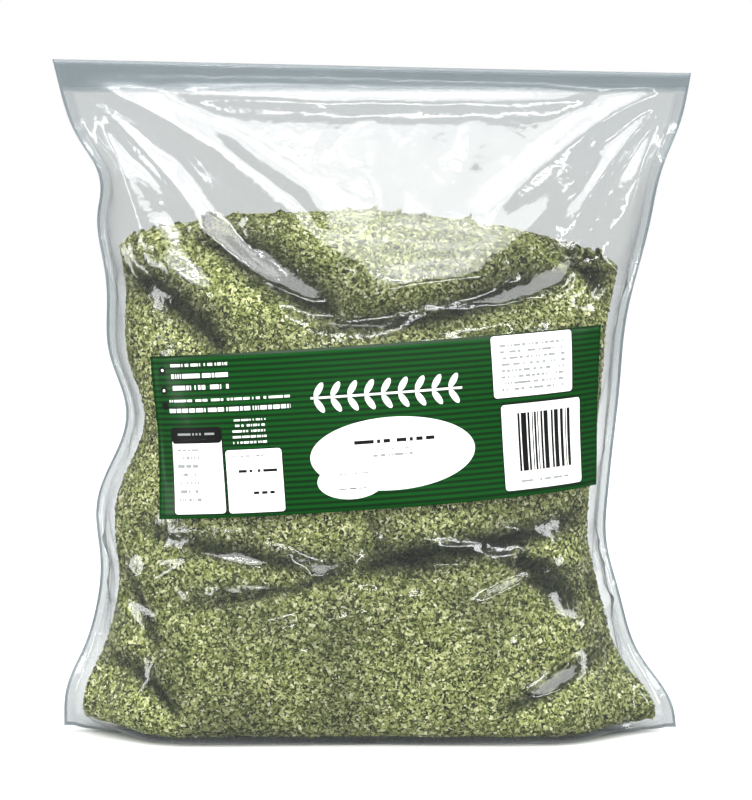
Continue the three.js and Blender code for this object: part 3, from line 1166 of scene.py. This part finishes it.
class PARSLEY_OT_film(bpy.types.Operator):
    """Wrinkle both webs of film over the heap and give them their thickness"""

    bl_idname = "parsley.film"
    bl_label = "Film"

    def execute(self, context):
        heap = heap_collider()
        material = film_material()
        for node in ("film_front", "film_back"):
            film = film_mesh(node)
            film.name = node.replace("film", "film_web")
            wrinkle_film(film)
            press_creases(film, -1 if node == "film_front" else 1)
            wall = film.modifiers.new("Wall", "SOLIDIFY")
            wall.thickness = settings().film_thickness
            wall.offset = -1
            shade_smooth(film)
            finish_piece(film, "film", material, node)
        bpy.data.objects.remove(heap)
        return {"FINISHED"}


# The stage


def look_at(obj, target):
    """Turns a light or the camera, which look along their own -Z, towards a point."""
    obj.rotation_euler = (Vector(target) - obj.location).to_track_quat("-Z", "Y").to_euler()


def soft_light(name, place, size, power):
    """A rectangular light that looks at the bag."""
    data = bpy.data.lights.new(name, "AREA")
    data.shape = "RECTANGLE"
    data.size, data.size_y = size
    data.energy = power
    light = bpy.data.objects.new(name, data)
    bpy.context.scene.collection.objects.link(light)
    light.location = place
    look_at(light, BAG_MIDDLE)


def ceiling_light():
    """Very soft daylight from above and a little in front."""
    data = bpy.data.lights.new("ceiling", "SUN")
    data.energy = CEILING_STRENGTH
    data.angle = CEILING_ANGLE
    light = bpy.data.objects.new("ceiling", data)
    bpy.context.scene.collection.objects.link(light)
    light.rotation_euler = (CEILING_TILT, 0, 0)


def studio_camera():
    """The camera at the photograph's angle, with the bag filling the height of the frame."""
    camera = bpy.data.objects.new("camera", bpy.data.cameras.new("camera"))
    bpy.context.scene.collection.objects.link(camera)
    away = Vector((0, -math.cos(CAMERA_ELEVATION), math.sin(CAMERA_ELEVATION)))
    camera.location = Vector(CAMERA_TARGET) + CAMERA_DISTANCE * away
    look_at(camera, CAMERA_TARGET)
    camera.data.sensor_fit = "VERTICAL"
    camera.data.angle = 2 * math.atan(FRAME_HEIGHT / 2 / CAMERA_DISTANCE)
    bpy.context.scene.camera = camera


def studio_floor():
    """A wide matte white floor."""
    bm = bmesh.new()
    bmesh.ops.create_grid(bm, x_segments=1, y_segments=1, size=4)
    floor = new_object("floor", bm)
    material, tree = new_material("matte_white_floor")
    shader = add(
        tree, "ShaderNodeBsdfPrincipled", inputs={"Base Color": linear("F4F4F4"), "Roughness": 0.9}
    )
    add(tree, "ShaderNodeOutputMaterial", {"Surface": shader.outputs[0]})
    floor.data.materials.append(material)
    # A bright floor mirrored in the lower film would hide the herb.
    floor.visible_glossy = False


def studio_world():
    """White where the camera sees past the bag, and a dimmer room that lights it and mirrors in it."""
    world = bpy.data.worlds.new("studio")
    world.use_nodes = True
    tree = world.node_tree
    tree.nodes.clear()
    path = add(tree, "ShaderNodeLightPath")
    room = add(tree, "ShaderNodeBackground", inputs={"Color": linear("E8ECEF"), "Strength": 0.35})
    backdrop = add(tree, "ShaderNodeBackground", inputs={"Color": linear("FFFFFF"), "Strength": 1.0})
    seen = add(
        tree,
        "ShaderNodeMixShader",
        {0: path.outputs["Is Camera Ray"], 1: room.outputs[0], 2: backdrop.outputs[0]},
    )
    add(tree, "ShaderNodeOutputWorld", {"Surface": seen.outputs[0]})
    return world


class PARSLEY_OT_stage(bpy.types.Operator):
    """Add the pale floor, the soft lights and the camera at the photograph's angle"""

    bl_idname = "parsley.stage"
    bl_label = "Stage"

    def execute(self, context):
        studio_floor()
        context.scene.world = studio_world()
        context.scene.view_settings.view_transform = "Standard"
        for light in SOFT_LIGHTS:
            soft_light(*light)
        ceiling_light()
        studio_camera()
        return {"FINISHED"}


class PARSLEY_PT_panel(bpy.types.Panel):
    """The bag's settings and the operators that build it"""

    bl_label = "Parsley Bag"
    bl_idname = "PARSLEY_PT_panel"
    bl_space_type = "VIEW_3D"
    bl_region_type = "UI"
    bl_category = "Parsley Bag"

    def draw(self, context):
        for name in ParsleyBagSettings.__annotations__:
            self.layout.prop(context.scene.parsley_bag, name)
        for operator in OPERATORS:
            self.layout.operator(operator.bl_idname)


OPERATORS = (PARSLEY_OT_stage, PARSLEY_OT_heap, PARSLEY_OT_film, PARSLEY_OT_label)
CLASSES = (ParsleyBagSettings, *OPERATORS, PARSLEY_PT_panel)


def register():
    for cls in CLASSES:
        bpy.utils.register_class(cls)
    bpy.types.Scene.parsley_bag = PointerProperty(type=ParsleyBagSettings)


def unregister():
    del bpy.types.Scene.parsley_bag
    for cls in reversed(CLASSES):
        bpy.utils.unregister_class(cls)


def main():
    register()
    bpy.ops.parsley.stage()
    bpy.ops.parsley.heap()
    bpy.ops.parsley.film()
    bpy.ops.parsley.label()


if __name__ == "__main__":
    main()
